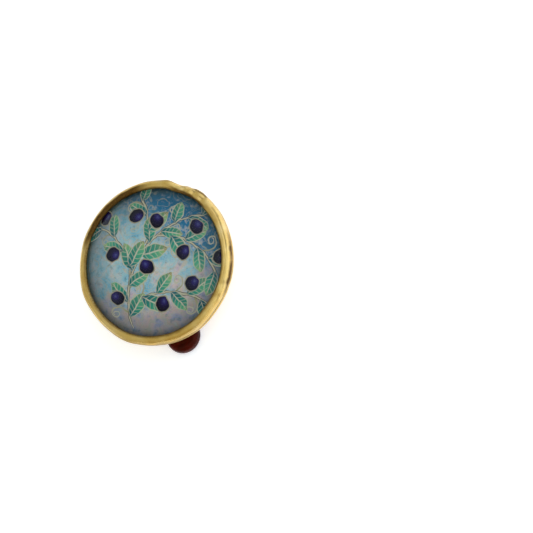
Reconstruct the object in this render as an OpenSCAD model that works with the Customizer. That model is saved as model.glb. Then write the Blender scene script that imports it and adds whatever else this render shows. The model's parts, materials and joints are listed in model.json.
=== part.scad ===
// Clip-on button earring. A gold-plated cup with a burnished lip holds a glass cabochon over
// a printed disc. A hinged clip with a slip-on cushion is carried by a bracket on its back.
// Millimetres, +Z up, at rest face-up on its closed clip, origin under the middle of the part.

/* [Cabochon] */
// Diameter of the glass cabochon, a stock size
glass_d = 25; // [18:0.5:32]
// Height of the straight edge of the glass
glass_edge_h = 1.3; // [1:0.1:2]
// Rise of the dome above the straight edge
dome_rise = 4; // [2:0.1:6]
// Thickness of the printed disc under the glass
print_t = 0.25; // [0.15:0.05:0.5]
// How far the printed disc stays short of the edge of the glass
print_margin = 0.1; // [0.05:0.05:0.5]

/* [Cup] */
// Thickness of the side wall
wall_t = 0.9; // [0.7:0.05:1.3]
// Thickness of the floor
floor_t = 0.5; // [0.4:0.05:1]
// How far the lip reaches in over the edge of the glass
lip_reach = 0.55; // [0.5:0.05:1]
// Radius of the bead along the edge of the lip
bead_r = 0.32; // [0.22:0.01:0.4]
// How far the centre of the bead stands off the glass
bead_stand = 0.2; // [0.1:0.01:0.2]
// Radius of the rounded shoulder outside the bead
shoulder_r = 0.95; // [0.8:0.05:1.1]
// How far the shoulder lies below the top of the bead
shoulder_drop = 0.06; // [0.02:0.01:0.15]
// Depth of the crease between bead and shoulder, below the top of the bead
crease_d = 0.13; // [0.1:0.01:0.2]
// Radius of the rounded corner at the back
corner_r = 1.2; // [0.5:0.05:1.3]

/* [Hinge bracket] */
// Distance of the hinge axis from the middle of the back
hinge_back = 3; // [1:0.1:5]
// Height of the hinge axis off the back
hinge_drop = 3.2; // [3:0.1:4.5]
// Diameter of the hinge pin
pin_d = 0.9; // [0.7:0.05:1.1]
// Diameter of the peened pin heads
pin_head_d = 1.6; // [1.3:0.05:2]
// Thickness of a pin head
pin_head_t = 0.25; // [0.15:0.05:0.5]
// Thickness of each ear
ear_t = 0.6; // [0.4:0.05:1]
// Thickness of the bracket's base between the ears
base_t = 0.4; // [0.3:0.05:0.6]
// Diameter of the round solder pad
solder_pad_d = 10.4; // [9.5:0.1:12]
// Thickness of the solder pad
solder_pad_t = 0.5; // [0.3:0.05:0.6]
// Thickness of the leaf spring
spring_t = 0.3; // [0.2:0.05:0.4]
// Width of the leaf spring
spring_w = 2.6; // [2:0.1:3.4]
// Length of the spring's foot on the solder pad
spring_foot = 1.5; // [1:0.1:2]

/* [Clip] */
// Width of the clip's knuckle between the ears
knuckle_w = 4.6; // [4:0.1:5.6]
// Outer diameter of the knuckle
knuckle_d = 2.2; // [1.9:0.05:2.4]
// Thickness of the clip's strip
strip_t = 0.6; // [0.4:0.05:0.7]
// Width of the strip at its waist
waist_w = 3.2; // [2.6:0.1:3.8]
// Width of the strip's round end inside the cushion
paddle_w = 3.9; // [3:0.1:4.1]
// How far the strip's middle plane lies below the hinge axis
strip_offset = 0.5; // [0.4:0.05:0.6]

/* [Cushion] */
// Width of the cushion and of its round end
cushion_w = 5.8; // [5.2:0.1:7]
// Thickness of the cushion
cushion_t = 2.1; // [1.9:0.05:2.6]
// Length of the cushion from its mouth to its tip
cushion_len = 8.8; // [6:0.1:10]
// Radius of the rounded long edges
cushion_edge_r = 0.85; // [0.5:0.05:0.9]
// How far the cushion's tip reaches past the cup
tip_reach = 1.75; // [0.2:0.05:3]
// Depth of the cushion's middle plane behind the cup's back, at the middle of its round end
cushion_drop = 1.6; // [1.6:0.05:2.2]

/* [Clearances] */
// Gap between pieces that lie on each other
seat_gap = 0.02; // [0.01:0.01:0.05]
// Gap round the glass in the cup, and between the lip and the glass
glass_gap = 0.06; // [0.03:0.01:0.1]
// Radial gap of the pin in the bracket's ears
pin_fit = 0.02; // [0.01:0.01:0.04]
// Radial gap of the clip's knuckle on the pin
knuckle_fit = 0.05; // [0.03:0.01:0.1]
// Gap between the knuckle and each ear
side_play = 0.15; // [0.1:0.05:0.3]
// Gap between the leaf spring's tip and the knuckle
spring_gap = 0.12; // [0.05:0.01:0.2]
// Gap between the cushion's pocket and the strip
pocket_gap = 0.05; // [0.02:0.01:0.1]

/* [Hidden] */
$fn = 96;
// Overlap that joins the parts of one solid
join = 0.05;

// Cabochon and print, from the cup's back upwards
glass_r = glass_d / 2;
print_z = floor_t + seat_gap;
glass_z = print_z + print_t + seat_gap;
dome_z = glass_z + glass_edge_h;
dome_r = (pow(glass_r, 2) + pow(dome_rise, 2)) / (2 * dome_rise);
dome_centre_z = dome_z + dome_rise - dome_r;

// Cup
cup_inner_r = glass_r + glass_gap;
cup_r = cup_inner_r + wall_t;
bead_centre_r = glass_r - lip_reach + bead_r;
bead_orbit_r = dome_r + glass_gap + bead_stand;
bead_centre_z = dome_centre_z + sqrt(pow(bead_orbit_r, 2) - pow(bead_centre_r, 2));
lip_top = bead_centre_z + bead_r;
shoulder_z = lip_top - shoulder_drop - shoulder_r;

// Clip, in its own frame: the hinge axis is its X axis and the strip runs along +Y
cushion_r = cushion_w / 2;
paddle_r = paddle_w / 2;
knuckle_r = knuckle_d / 2;
end_y = cup_r + tip_reach - cushion_r;
hinge_to_end = [end_y + hinge_back, hinge_drop - cushion_drop];
end_reach = norm(hinge_to_end);
strip_len = sqrt(pow(end_reach, 2) - pow(strip_offset, 2));
mouth_y = strip_len + cushion_r - cushion_len;
waist_y = mouth_y / 2;
// Lean of the strip to the cup's back, which is also the lean of the cup at rest
clip_slope = atan2(hinge_to_end[1], hinge_to_end[0]) + asin(strip_offset / end_reach);

// Bracket: the ears' round ends and the cushion's underside share the plane of rest
ear_r = strip_offset + cushion_t / 2;
ear_inner_x = knuckle_w / 2 + side_play;
ear_outer_x = ear_inner_x + ear_t;
pin_r = pin_d / 2;
pin_half_len = ear_outer_x + seat_gap;
spring_tip_r = knuckle_r + spring_gap;

// Place at rest: the part stands on Z = 0 and is centred along Y
back_reach = (cup_r - corner_r) * cos(clip_slope) - corner_r * sin(clip_slope) + corner_r;
hinge_to_cup_y = hinge_back * cos(clip_slope) + hinge_drop * sin(clip_slope);
part_back_y = hinge_to_cup_y - back_reach;
part_front_y = strip_len + cushion_r;
hinge_y = -(part_back_y + part_front_y) / 2;
hinge_z = ear_r;

// Puts what is drawn on the cup's back, face along +Z, where the cup lies at rest
module on_button() {
    translate([0, hinge_y, hinge_z])
        rotate([-clip_slope, 0, 0])
            translate([0, hinge_back, hinge_drop])
                children();
}

// Puts what is drawn round the hinge axis where the clip lies at rest
module on_clip() {
    translate([0, hinge_y, hinge_z])
        children();
}

// A bar along X of a profile drawn in Y and Z
module bar_along_x(width) {
    translate([-width / 2, 0, 0])
        rotate([90, 0, 90])
            linear_extrude(width)
                children();
}

// A round bar along X
module rod_along_x(radius, length) {
    rotate([0, 90, 0])
        cylinder(r = radius, h = length, center = true);
}

// The space that the glass and the print fill, as half a section
module cup_hollow_section() {
    intersection() {
        translate([0, floor_t])
            square([cup_inner_r, lip_top]);
        translate([0, dome_centre_z])
            circle(r = dome_r + glass_gap, $fn = 4 * $fn);
    }
}

// Half a section of the cup, with its rounded corner, shoulder, crease and bead
module cup_section() {
    difference() {
        union() {
            square([cup_r - corner_r, corner_r]);
            translate([cup_r - corner_r, corner_r])
                circle(r = corner_r);
            translate([cup_r - corner_r, corner_r])
                square([corner_r, shoulder_z - corner_r]);
            translate([cup_r - shoulder_r, shoulder_z])
                circle(r = shoulder_r);
            translate([bead_centre_r, corner_r])
                square([cup_r - shoulder_r - bead_centre_r, lip_top - crease_d - corner_r]);
            translate([bead_centre_r, bead_centre_z])
                circle(r = bead_r);
        }
        cup_hollow_section();
    }
}

// The outline of one ear and its bore's axis, seen along X
module ear_section() {
    translate([-hinge_back, -hinge_drop])
        circle(r = ear_r);
    translate([-hinge_back - ear_r, -hinge_drop])
        square([2 * ear_r, hinge_drop - solder_pad_t + join]);
}

// The leaf spring from its foot on the pad to its tip by the knuckle, seen along X
module spring_section() {
    bend_y = spring_tip_r * 2 - hinge_back;
    tip_y = spring_tip_r * cos(45) - hinge_back;
    tip_z = spring_tip_r * sin(45) - hinge_drop;
    foot_z = join - solder_pad_t;
    polygon([
        [bend_y + spring_foot, foot_z],
        [bend_y + spring_foot, foot_z - join - spring_t],
        [bend_y, foot_z - join - spring_t],
        [tip_y, tip_z],
        [tip_y, tip_z + spring_t],
        [bend_y, foot_z]
    ]);
}

// Solder pad, ears, base and leaf spring, one piece of metal with the cup
module clip_bracket() {
    difference() {
        union() {
            translate([0, -hinge_back / 3, -solder_pad_t])
                cylinder(d = solder_pad_d, h = solder_pad_t + join);
            for (side = [-1, 1])
                translate([side * (ear_inner_x + ear_t / 2), 0, 0])
                    bar_along_x(ear_t)
                        ear_section();
            translate([-ear_outer_x, -hinge_back - ear_r, -solder_pad_t - base_t])
                cube([2 * ear_outer_x, 2 * ear_r, base_t + join]);
        }
        translate([0, -hinge_back, -hinge_drop])
            rod_along_x(pin_r + pin_fit, 2 * ear_outer_x + 1);
    }
    bar_along_x(spring_w)
        spring_section();
}

// Plan of the strip from the knuckle to its round end, wider all round by grow
module strip_plan(grow = 0) {
    polygon([
        [-knuckle_w / 2 - grow, 0],
        [knuckle_w / 2 + grow, 0],
        [knuckle_w / 2 + grow, knuckle_r],
        [waist_w / 2 + grow, waist_y],
        [paddle_r + grow, strip_len],
        [-paddle_r - grow, strip_len],
        [-waist_w / 2 - grow, waist_y],
        [-knuckle_w / 2 - grow, knuckle_r]
    ]);
    translate([0, strip_len])
        circle(r = paddle_r + grow);
}

// Half a section across the cushion, with its rounded edge
module cushion_half_section() {
    flat_w = cushion_r - cushion_edge_r;
    side_h = cushion_t - 2 * cushion_edge_r;
    translate([0, -cushion_t / 2])
        square([flat_w, cushion_t]);
    translate([0, -side_h / 2])
        square([cushion_r, side_h]);
    for (side = [-1, 1])
        translate([flat_w, side * side_h / 2])
            circle(r = cushion_edge_r);
}

// Cup with its lip, and the hinge bracket soldered to its back
module bezel_setting() {
    color("goldenrod")
        on_button() {
            rotate_extrude()
                cup_section();
            clip_bracket();
        }
}

// Printed disc between the cup's floor and the glass
module print_disc() {
    color("lightseagreen")
        on_button()
            translate([0, 0, print_z])
                cylinder(r = glass_r - print_margin, h = print_t);
}

// Clear glass cabochon with a flat back
module glass_cabochon() {
    color("powderblue", 0.5)
        on_button()
            intersection() {
                translate([0, 0, glass_z])
                    cylinder(r = glass_r, h = glass_edge_h + dome_rise + 1);
                translate([0, 0, dome_centre_z])
                    sphere(r = dome_r, $fn = 4 * $fn);
            }
}

// Hinge pin, peened over outside both ears
module hinge_pin() {
    color("khaki")
        on_button()
            translate([0, -hinge_back, -hinge_drop]) {
                rod_along_x(pin_r, 2 * pin_half_len + join);
                for (side = [-1, 1])
                    translate([side * (pin_half_len + pin_head_t / 2), 0, 0])
                        rod_along_x(pin_head_d / 2, pin_head_t);
            }
}

// Clip: a knuckle on the pin and a strip with a round end
module clip_paddle() {
    color("gold")
        on_clip()
            difference() {
                union() {
                    rod_along_x(knuckle_r, knuckle_w);
                    translate([0, 0, -strip_offset - strip_t / 2])
                        linear_extrude(strip_t)
                            strip_plan();
                }
                rod_along_x(pin_r + knuckle_fit, knuckle_w + 1);
            }
}

// Slip-on cushion with a pocket for the strip's end
module rubber_sleeve() {
    color("maroon")
        on_clip()
            translate([0, 0, -strip_offset])
                difference() {
                    union() {
                        translate([0, strip_len, 0])
                            rotate_extrude()
                                cushion_half_section();
                        translate([0, strip_len, 0])
                            rotate([90, 0, 0])
                                linear_extrude(strip_len - mouth_y) {
                                    cushion_half_section();
                                    mirror([1, 0])
                                        cushion_half_section();
                                }
                    }
                    translate([0, 0, -strip_t / 2 - pocket_gap])
                        linear_extrude(strip_t + 2 * pocket_gap)
                            strip_plan(pocket_gap);
                }
}

bezel_setting();
print_disc();
glass_cabochon();
hinge_pin();
clip_paddle();
rubber_sleeve();
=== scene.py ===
import json
from collections import namedtuple
from math import acos, atan2, cos, degrees, hypot, pi, radians, sin

import bmesh
import bpy
import numpy as np
from mathutils import Matrix, Vector


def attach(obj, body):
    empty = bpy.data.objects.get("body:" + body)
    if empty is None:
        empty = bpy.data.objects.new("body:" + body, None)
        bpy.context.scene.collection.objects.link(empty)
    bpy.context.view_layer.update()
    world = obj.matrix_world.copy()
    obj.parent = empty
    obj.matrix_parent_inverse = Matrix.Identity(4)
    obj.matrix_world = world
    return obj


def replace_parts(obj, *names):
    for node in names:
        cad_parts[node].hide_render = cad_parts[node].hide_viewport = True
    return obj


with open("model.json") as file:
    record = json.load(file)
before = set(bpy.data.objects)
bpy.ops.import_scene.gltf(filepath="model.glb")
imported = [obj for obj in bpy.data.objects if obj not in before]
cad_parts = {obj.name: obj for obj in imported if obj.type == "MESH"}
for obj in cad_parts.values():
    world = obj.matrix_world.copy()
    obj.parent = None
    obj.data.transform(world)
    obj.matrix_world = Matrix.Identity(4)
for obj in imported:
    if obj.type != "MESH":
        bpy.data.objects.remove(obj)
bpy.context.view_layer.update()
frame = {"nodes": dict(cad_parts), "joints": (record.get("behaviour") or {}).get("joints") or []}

# The cup. Stamped from brass sheet, its edge rolled in over the glass into a smooth lip that meets
# the wall at a fine seam, then plated with yellow gold and polished. Handling has dented the lip.
# Sizes are in millimetres round the cup's axis, from its back upwards, and +Y runs to the clip's tip.
MM = 0.001
HINGE_BACK = 3.0
HINGE_DROP = 3.2
CUP_R = 13.46
CORNER_R = 1.2
FLOOR_T = 0.5
HOLLOW_R = 12.56
SHOULDER_R = 0.95
SHOULDER_Z = 1.877
NOSE_R = 0.32
NOSE_ORBIT = 12.27
NOSE_Z = 2.567
LIP_UNDER = (12.2, 2.3)
SEAM_Z = 1.5
SEAM_W = 0.46
SEAM_DEPTH = 0.09
PAD_R = 5.2
FLUX_R = 6.6
SPIN_STEPS = 384

# Gentle waves round the lip, out and up: how many, how high and where they start
OUT_WAVES = ((3, 0.03, 0.7), (7, 0.018, 2.1), (17, 0.01, 0.0))
UP_WAVES = ((4, 0.025, 1.3), (9, 0.015, 0.4))

# Where each dent lies round the cup, how wide it is, how far it pushes the rim out and up
Dent = namedtuple("Dent", "azimuth width out up")
DENTS = [
    Dent(-152.0, 24.0, 0.34, 0.0),
    Dent(-118.0, 5.0, 0.2, 0.02),
    Dent(-126.7, 7.0, -0.38, -0.05),
    Dent(-133.0, 2.2, 0.05, -0.2),
    Dent(-137.0, 2.0, -0.08, 0.13),
    Dent(-141.0, 1.6, 0.06, -0.2),
    Dent(-144.8, 5.0, 0.14, 0.03),
    Dent(-149.0, 1.8, -0.08, -0.17),
    Dent(-157.4, 4.0, -0.08, 0.05),
    Dent(144.0, 2.4, -0.1, -0.08),
    Dent(134.0, 2.6, -0.02, -0.07),
    Dent(127.0, 13.0, -0.28, 0.0),
    Dent(55.0, 13.0, 0.2, 0.0),
    Dent(61.0, 5.0, -0.06, -0.03),
    Dent(4.0, 13.0, 0.15, 0.0),
    Dent(-38.0, 12.0, 0.13, 0.0),
]

# Together they push the rim out no further than MOST_OUT. The push grows outwards over the lip and up the
# wall, whose foot keeps a share of it, and only the lip is pushed up. Each growth is given as where it
# starts and the length over which it comes to its full.
MOST_OUT = 0.5
OUTWARDS = (11.6, 0.9)
UPWARDS = (0.3, 2.2)
ON_LIP = (1.6, 0.8)
FOOT_SHARE = 0.35

# A fine crease along the lip beside the dents, at a radius, with its half width there and its depth
CREASE = {"azimuth": -177.0, "half_width": 17.0, "radius": 12.88, "width": 0.11, "depth": 0.08}

# Where the lip is darkened brown from the glass outwards as painted shade and dim reflection, where the outer
# slope and wall are darkened as a painted dimming of the table's reflection, where rubbed marks and the
# crease hold dirt, and where the outer edge is painted shade: each row's middle and half width round the cup,
# the radii that it lies between, how much it covers, and the height that it lies above
DARKENED_Z = 1.7
StainAndShade = namedtuple("StainAndShade", "azimuth half_width inner outer cover above", defaults=[DARKENED_Z])
STAINS_AND_SHADES = [
    # Painted shade and dim reflection on the lip's inner slope along the glass
    StainAndShade(-66.0, 33.0, 11.5, 12.92, 0.94),
    StainAndShade(-139.0, 16.0, 11.5, 12.5, 0.9),
    StainAndShade(96.0, 20.0, 11.5, 12.35, 0.6),
    # A painted dimming of the table's reflection on the outer slope and wall
    StainAndShade(-20.0, 128.0, 13.24, 14.5, 0.5, 0.1),
    StainAndShade(144.0, 2.6, 12.92, 13.08, 0.34),
    StainAndShade(134.0, 3.0, 12.85, 13.02, 0.34),
    StainAndShade(-144.5, 6.0, 13.5, 13.78, 0.85),
    StainAndShade(-131.0, 2.0, 13.1, 13.3, 0.5),
    StainAndShade(-140.0, 1.4, 13.1, 13.35, 0.6),
    StainAndShade(-148.0, 1.7, 13.0, 13.2, 0.6),
    StainAndShade(-168.0, 17.0, 11.9, 12.9, 0.16),
    StainAndShade(-163.0, 4.0, 13.1, 13.28, 0.42),
    StainAndShade(-171.0, 6.0, 12.96, 13.12, 0.42),
    StainAndShade(177.0, 7.0, 12.86, 13.0, 0.42),
    # Painted shade on the outer edge and wall at the picture's right
    StainAndShade(158.0, 20.0, 13.34, 14.5, 0.95, 1.2),
]

# The frame gives the hinge's place and the print's face, whose lean the cup and all in it share
hinge = Vector(frame["joints"][0]["pos_m"])
disc_face = max(frame["nodes"]["print_disc"].data.polygons, key=lambda face: face.area)
lean = atan2(abs(disc_face.normal.y), abs(disc_face.normal.z))
lean_turn = Matrix.Rotation(-lean, 4, "X")
on_hinge = Matrix.Translation(hinge) @ Matrix.Scale(MM, 4)
on_cup = Matrix.Translation(hinge) @ lean_turn @ Matrix.Scale(MM, 4)
on_cup = on_cup @ Matrix.Translation((0, HINGE_BACK, HINGE_DROP))


def linear(colour):
    """Linear RGBA of an sRGB hex colour"""
    channels = [int(colour[i : i + 2], 16) / 255 for i in (0, 2, 4)]
    return tuple(c / 12.92 if c <= 0.04045 else ((c + 0.055) / 1.055) ** 2.4 for c in channels) + (1.0,)


def add(tree, kind, inputs=None, stops=(), **settings):
    """Adds a node, sets its properties and sockets, and links the nodes or sockets given as inputs.
    A node given so is linked by its first output in use."""
    node = tree.nodes.new(kind)
    for name, value in settings.items():
        setattr(node, name, value)
    for key, value in (inputs or {}).items():
        if isinstance(value, bpy.types.Node):
            value = next(socket for socket in value.outputs if socket.enabled)
        if isinstance(value, bpy.types.NodeSocket):
            tree.links.new(value, node.inputs[key])
        else:
            node.inputs[key].default_value = value
    if stops:
        ramp = node.color_ramp.elements
        while len(ramp) < len(stops):
            ramp.new(0.5)
        for element, (place, colour) in zip(ramp, stops):
            element.position = place
            element.color = linear(colour)
    return node


def new_material(name):
    """A named material with an empty node tree"""
    material = bpy.data.materials.new(name)
    material.use_nodes = True
    material.node_tree.nodes.clear()
    return material, material.node_tree


def solid_material(name):
    """A named material, its node tree and the object coordinates, in metres, that its patterns read"""
    material, tree = new_material(name)
    return material, tree, add(tree, "ShaderNodeTexCoord").outputs["Object"]


def cup_millimetres(tree, place, turn):
    """Object coordinates turned into millimetres from the middle of the cup's back"""
    return add(
        tree, "ShaderNodeMapping",
        {"Vector": place, "Location": on_cup.translation, "Rotation": turn.to_euler(), "Scale": (MM, MM, MM)},
        vector_type="TEXTURE",
    )


def end_tree(tree, kind, inputs, output="ShaderNodeOutputMaterial"):
    """Adds the last shader of a tree and its output"""
    add(tree, output, {"Surface": add(tree, kind, inputs)})


def metal_skin(tree, tone, rough, dip):
    """Ends a metal's tree. A metal keeps the usual IOR."""
    look = {"Base Color": tone, "Metallic": 1.0, "Roughness": rough, "Normal": dip}
    end_tree(tree, "ShaderNodeBsdfPrincipled", look)


def arc(centre, radius, start, end, steps):
    """Points of an arc in a section, from one angle to another in degrees"""
    angles = np.radians(np.linspace(start, end, steps + 1))
    return [(centre[0] + radius * cos(a), centre[1] + radius * sin(a)) for a in angles]


def new_piece(name, points, faces, material=None, place=Matrix.Identity(4), edges=()):
    """A mesh object at the origin, its points moved from a piece's own millimetres to their place"""
    mesh = bpy.data.meshes.new(name)
    mesh.from_pydata([place @ Vector(p) for p in points], edges, faces)
    piece = bpy.data.objects.new(name, mesh)
    bpy.context.scene.collection.objects.link(piece)
    if material:
        mesh.materials.append(material)
    return piece


def finish_mesh(piece, crease_angle=40):
    """Turns the faces outwards and shades them smooth up to an edge sharper than the angle"""
    shell = bmesh.new()
    shell.from_mesh(piece.data)
    bmesh.ops.remove_doubles(shell, verts=shell.verts, dist=1e-7)
    bmesh.ops.recalc_face_normals(shell, faces=shell.faces)
    shell.to_mesh(piece.data)
    shell.free()
    piece.data.shade_smooth()
    piece.data.set_sharp_from_angle(angle=radians(crease_angle))


def worked_mesh(piece):
    """The mesh that a piece's modifiers make of it. They are removed."""
    mesh = bpy.data.meshes.new_from_object(piece.evaluated_get(bpy.context.evaluated_depsgraph_get()))
    piece.modifiers.clear()
    return mesh


def new_shape_tree(name, sockets):
    """A geometry tree and its inputs, given as rows of name, kind of socket and usual value"""
    tree = bpy.data.node_groups.new(name, "GeometryNodeTree")
    for title, kind, usual in sockets:
        socket = tree.interface.new_socket(title, in_out="INPUT", socket_type="NodeSocket" + kind)
        if usual is not None:
            socket.default_value = usual
    tree.interface.new_socket("Geometry", in_out="OUTPUT", socket_type="NodeSocketGeometry")
    return tree, add(tree, "NodeGroupInput").outputs


def shaped_mesh(piece, tree, values):
    """The mesh that a geometry tree makes of a piece, its inputs set by their sockets' identifiers"""
    nodes = piece.modifiers.new(tree.name, "NODES")
    nodes.node_group = tree
    for socket in tree.interface.items_tree:
        if socket.in_out == "INPUT" and socket.name in values:
            nodes[socket.identifier] = values[socket.name]
    return worked_mesh(piece)


def growth(values, start, length):
    """How far each value is past the start of a growth, from 0 to 1"""
    return np.clip((values - start) / length, 0, 1)


def spin_tree():
    """Geometry nodes that sweep a half section, drawn in X and Z, round the Z axis"""
    sizes = [("Steps", "Int", SPIN_STEPS), ("Orbit", "Float", 10.0), ("Pole Size", "Float", 0.0005)]
    sockets = [("Geometry", "Geometry", None), *sizes, ("Material", "Material", None)]
    tree, given = new_shape_tree("spin_section", sockets)
    section = add(tree, "GeometryNodeMeshToCurve", {"Mesh": given["Geometry"]})
    inwards = add(tree, "ShaderNodeMath", {0: given["Orbit"], 1: -1.0}, operation="MULTIPLY")
    shift = add(tree, "ShaderNodeCombineXYZ", {"X": inwards})
    upright = add(
        tree, "GeometryNodeTransform",
        {"Geometry": section, "Translation": shift, "Rotation": (radians(90), 0, 0)},
    )
    path = add(
        tree, "GeometryNodeCurvePrimitiveCircle", {"Resolution": given["Steps"], "Radius": given["Orbit"]}
    )
    swept = add(tree, "GeometryNodeCurveToMesh", {"Curve": path, "Profile Curve": upright})
    merged = add(tree, "GeometryNodeMergeByDistance", {"Geometry": swept, "Distance": given["Pole Size"]})
    real = add(tree, "GeometryNodeRealizeInstances", {"Geometry": merged})
    dressed = add(tree, "GeometryNodeSetMaterial", {"Geometry": real, "Material": given["Material"]})
    add(tree, "NodeGroupOutput", {"Geometry": dressed})
    return tree


SPIN = spin_tree()


def spun(name, section, material, steps=SPIN_STEPS):
    """Points and faces of a half section swept round the Z axis by the spin tree"""
    points = [(r, 0, z) for r, z in section]
    edges = [(i, i + 1) for i in range(len(section) - 1)]
    source = new_piece(name, points, [], edges=edges)
    mesh = shaped_mesh(source, SPIN, {"Steps": steps, "Material": material})
    bpy.data.objects.remove(source)
    points = np.zeros(len(mesh.vertices) * 3)
    mesh.vertices.foreach_get("co", points)
    faces = [tuple(face.vertices) for face in mesh.polygons]
    bpy.data.meshes.remove(mesh)
    return points.reshape(-1, 3), faces


# Polished yellow gold plate on brass. A metal, pale where it meets bright light, in clouds of tone about
# 2 mm wide. Brown, broken by specks of 0.3 mm, dulls it: grime with painted shade along the glass and in
# the seam, grime round the solder, and tarnish, dirt and painted shade in the rows below.
plate, tree, place = solid_material("polished_gold_plate")
local = cup_millimetres(tree, place, lean_turn)
axes = add(tree, "ShaderNodeSeparateXYZ", {0: local})
height = axes.outputs[2]
flat = add(tree, "ShaderNodeCombineXYZ", {0: axes.outputs[0], 1: axes.outputs[1]})
radius = add(tree, "ShaderNodeVectorMath", {0: flat}, operation="LENGTH")
cloud = add(tree, "ShaderNodeTexNoise", {"Vector": local, "Scale": 0.45, "Detail": 3.0})
speck = add(tree, "ShaderNodeTexNoise", {"Vector": local, "Scale": 3.5, "Detail": 4.0})
tone = add(
    tree, "ShaderNodeValToRGB", {0: cloud}, stops=[(0.3, "DCB569"), (0.5, "E8C57C"), (0.72, "F1D293")]
)
face_side = add(tree, "ShaderNodeMapRange", {0: height, 1: DARKENED_Z, 2: DARKENED_Z + 0.3})
# Painted shade with grime: the lip's inner slope is darkened along the glass, where the lip shades it
along_glass = add(
    tree, "ShaderNodeMapRange", {0: radius, 1: NOSE_ORBIT - 0.1, 2: NOSE_ORBIT + 0.16, 3: 1.0, 4: 0.0}
)
along_glass = add(tree, "ShaderNodeMath", {0: along_glass, 1: face_side}, operation="MULTIPLY")
# Grime and painted shade darken the seam's groove on the wall
seam_far = add(tree, "ShaderNodeMath", {0: height, 1: SEAM_Z}, operation="SUBTRACT")
seam_far = add(tree, "ShaderNodeMath", {0: seam_far}, operation="ABSOLUTE")
seam = add(tree, "ShaderNodeMapRange", {0: seam_far, 1: SEAM_W * 0.22, 2: SEAM_W * 0.52, 3: 0.85, 4: 0.0})
on_wall = add(tree, "ShaderNodeMath", {0: radius, 1: CUP_R - 0.8}, operation="GREATER_THAN")
seam = add(tree, "ShaderNodeMath", {0: seam, 1: on_wall}, operation="MULTIPLY")
grime_and_shade = add(tree, "ShaderNodeMath", {0: along_glass, 1: seam}, operation="MAXIMUM")
pad_far = add(tree, "ShaderNodeVectorMath", {0: flat, 1: (0.0, -HINGE_BACK / 3, 0.0)}, operation="DISTANCE")
bloom = add(tree, "ShaderNodeMapRange", {0: pad_far, 1: PAD_R + 0.1, 2: FLUX_R, 3: 0.55, 4: 0.0})
off_pad = add(tree, "ShaderNodeMapRange", {0: pad_far, 1: PAD_R - 0.04, 2: PAD_R + 0.06})
behind = add(tree, "ShaderNodeMath", {0: height, 1: 0.2}, operation="LESS_THAN")
for limit in (off_pad, behind):
    bloom = add(tree, "ShaderNodeMath", {0: bloom, 1: limit}, operation="MULTIPLY")
grime_and_shade = add(tree, "ShaderNodeMath", {0: grime_and_shade, 1: bloom}, operation="MAXIMUM")
patchy = add(tree, "ShaderNodeMapRange", {0: speck, 1: 0.3, 2: 0.62, 3: 0.5, 4: 0.85})
grime_and_shade = add(tree, "ShaderNodeMath", {0: grime_and_shade, 1: patchy}, operation="MULTIPLY")

# Each row's stain or painted shade fades out between 0.7 and 1.3 of its half width, and over 0.2 to 0.3 mm at
# its ragged edges
unit = add(tree, "ShaderNodeVectorMath", {0: flat}, operation="NORMALIZE")
ragged = add(tree, "ShaderNodeMath", {0: cloud, 1: 0.6, 2: -0.3}, operation="MULTIPLY_ADD")
ragged = add(tree, "ShaderNodeMath", {0: ragged, 1: radius}, operation="ADD")
for darkening in STAINS_AND_SHADES:
    turn = radians(darkening.azimuth)
    near = add(
        tree, "ShaderNodeVectorMath", {0: unit, 1: (cos(turn), sin(turn), 0.0)}, operation="DOT_PRODUCT"
    )
    fade_out, fade_in = [cos(radians(darkening.half_width * share)) for share in (1.3, 0.7)]
    brown = add(
        tree, "ShaderNodeMapRange", {0: near, 1: fade_out, 2: fade_in, 4: darkening.cover},
        interpolation_type="SMOOTHSTEP",
    )
    edges = {1: darkening.outer - 0.12, 2: darkening.outer + 0.15, 3: 1.0, 4: 0.0}
    within = add(tree, "ShaderNodeMapRange", {0: ragged, **edges})
    beyond = add(tree, "ShaderNodeMapRange", {0: ragged, 1: darkening.inner - 0.1, 2: darkening.inner + 0.1})
    raised = add(tree, "ShaderNodeMapRange", {0: height, 1: darkening.above, 2: darkening.above + 0.3})
    for limit in (within, beyond, raised):
        brown = add(tree, "ShaderNodeMath", {0: brown, 1: limit}, operation="MULTIPLY")
    grime_and_shade = add(tree, "ShaderNodeMath", {0: grime_and_shade, 1: brown}, operation="MAXIMUM")
# The brown of grime and tarnish, which also serves as painted shade
tarnish_and_shade = add(tree, "ShaderNodeValToRGB", {0: speck}, stops=[(0.35, "3E2408"), (0.65, "6E4A1C")])
shade = add(tree, "ShaderNodeMix", {0: grime_and_shade, 6: tone, 7: tarnish_and_shade}, data_type="RGBA")
dull = add(tree, "ShaderNodeMapRange", {0: cloud, 1: 0.3, 2: 0.7, 3: 0.15, 4: 0.22})
rough = add(tree, "ShaderNodeMix", {0: grime_and_shade, 2: dull, 3: 0.5})

# The wheel has left streaks round the cup, 0.2 mm wide and some 3 mm long, fainter on the back
level = add(tree, "ShaderNodeMath", {0: radius, 1: height}, operation="SUBTRACT")
level = add(tree, "ShaderNodeMath", {0: level, 1: 3.0}, operation="MULTIPLY")
level = add(tree, "ShaderNodeCombineXYZ", {2: level})
lengthways = add(
    tree, "ShaderNodeVectorMath", {0: unit, 1: (2.4, 2.4, 0.0), 2: level}, operation="MULTIPLY_ADD"
)
scratch = add(
    tree, "ShaderNodeTexNoise", {"Vector": lengthways, "Scale": 1.6, "Detail": 5.0, "Roughness": 0.65}
)
streaky = add(tree, "ShaderNodeMapRange", {0: height, 1: 0.2, 2: 1.4, 3: 0.07, 4: 0.5})
dip = add(tree, "ShaderNodeBump", {"Height": scratch, "Strength": streaky, "Distance": 0.0001})
metal_skin(tree, shade, rough, dip)

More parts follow.
